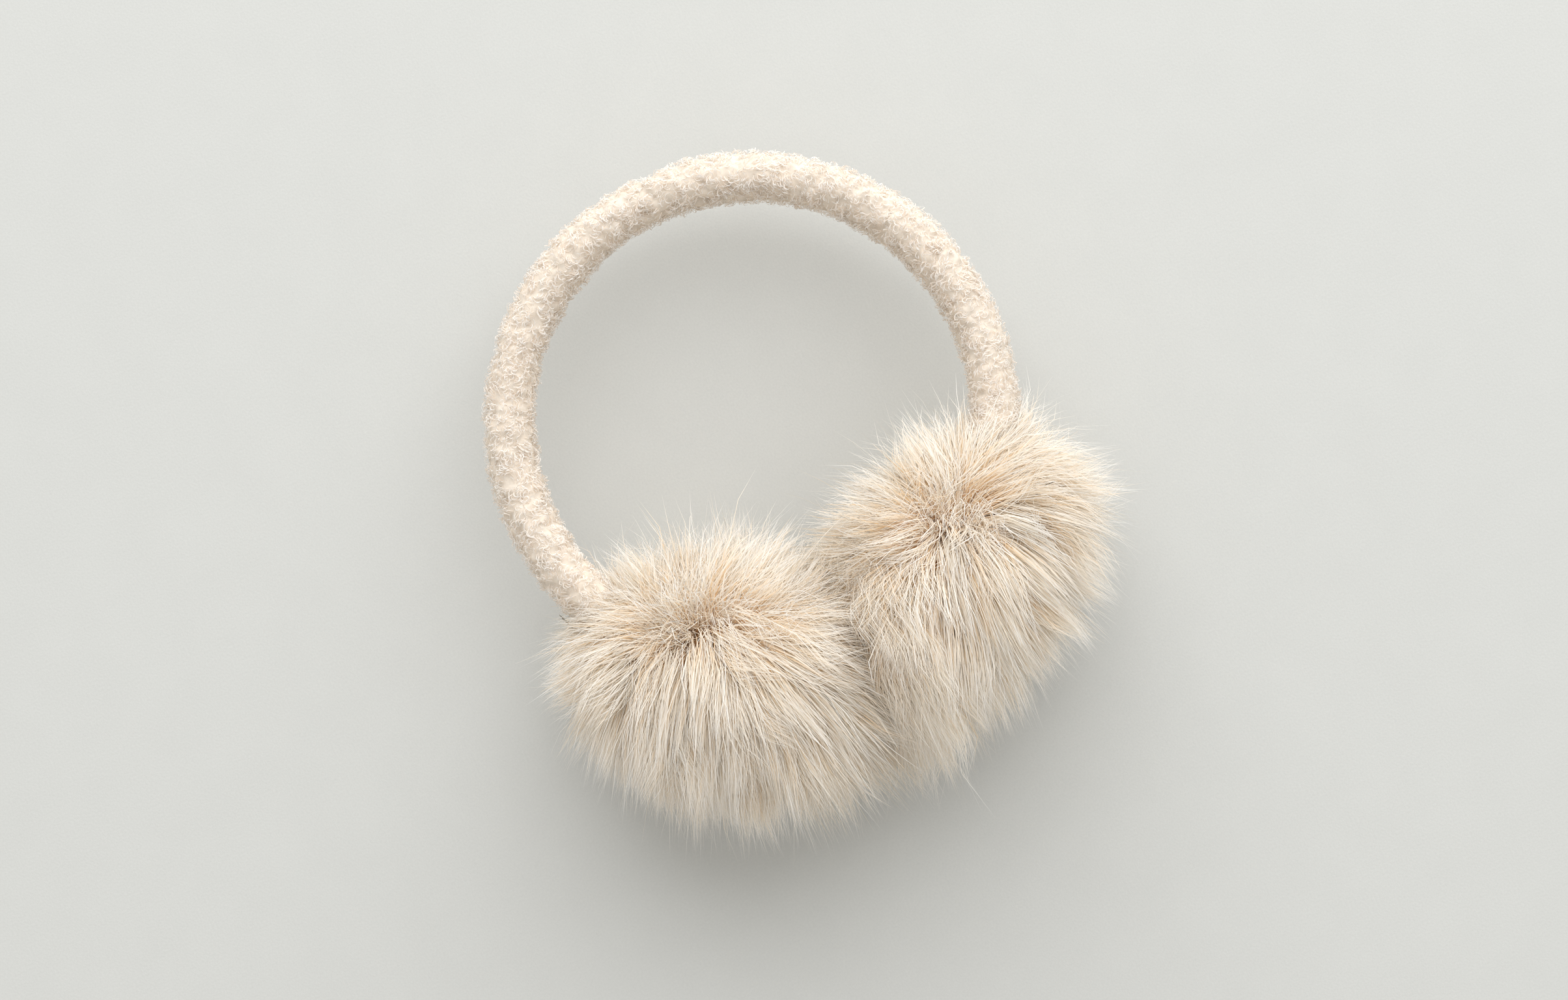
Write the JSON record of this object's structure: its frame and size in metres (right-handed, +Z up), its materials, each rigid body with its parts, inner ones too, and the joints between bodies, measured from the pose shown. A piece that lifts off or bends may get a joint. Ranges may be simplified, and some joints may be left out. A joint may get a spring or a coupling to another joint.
{
  "type": "fur earmuffs",
  "caption": "Fur earmuffs lying as put down: a curly plush headband bent to an open ring and two round ear pads of long clumped fur that press together.",
  "frame": {"origin": "on the table, at the middle of the outline seen from above", "axes": "+Z up from the table, +Y from the ear pads towards the crown of the headband, X across the two pads"},
  "size_m": [0.1842, 0.2068, 0.1016],
  "materials": {
    "plush": "curly cream pile, matte",
    "fur": "long clumped pile, beige at the root and near white at the tips"
  },
  "bodies": {
    "root": {"headband": "plush", "ear_pad_left": "fur", "ear_pad_right": "fur"}
  },
  "joints": []
}
